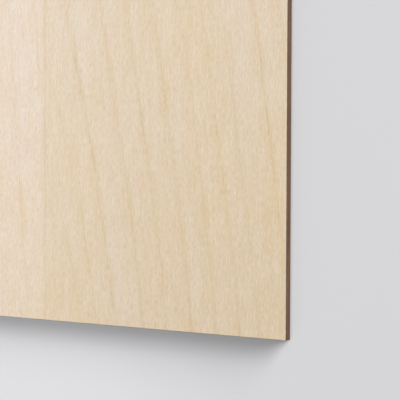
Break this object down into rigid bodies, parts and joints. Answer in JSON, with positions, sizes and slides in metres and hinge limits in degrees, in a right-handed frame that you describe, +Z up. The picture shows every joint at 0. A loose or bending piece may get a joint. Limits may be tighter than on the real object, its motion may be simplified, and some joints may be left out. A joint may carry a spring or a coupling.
{
  "type": "plywood sheet",
  "caption": "Flat rectangular thin plywood sheet with pale close-grained face veneer and square edges scorched brown by laser cutting.",
  "frame": {"origin": "centre of the back face, on the floor that the sheet lies on", "axes": "+X across the face grain, +Y along the face grain and the sheet's length, +Z up through the plies to the face side"},
  "size_m": [0.2, 0.3, 0.003],
  "materials": {
    "plywood": "fine-sanded pale face veneer, brown scorched edges"
  },
  "bodies": {
    "root": {"plywood_sheet": "plywood"}
  },
  "joints": []
}
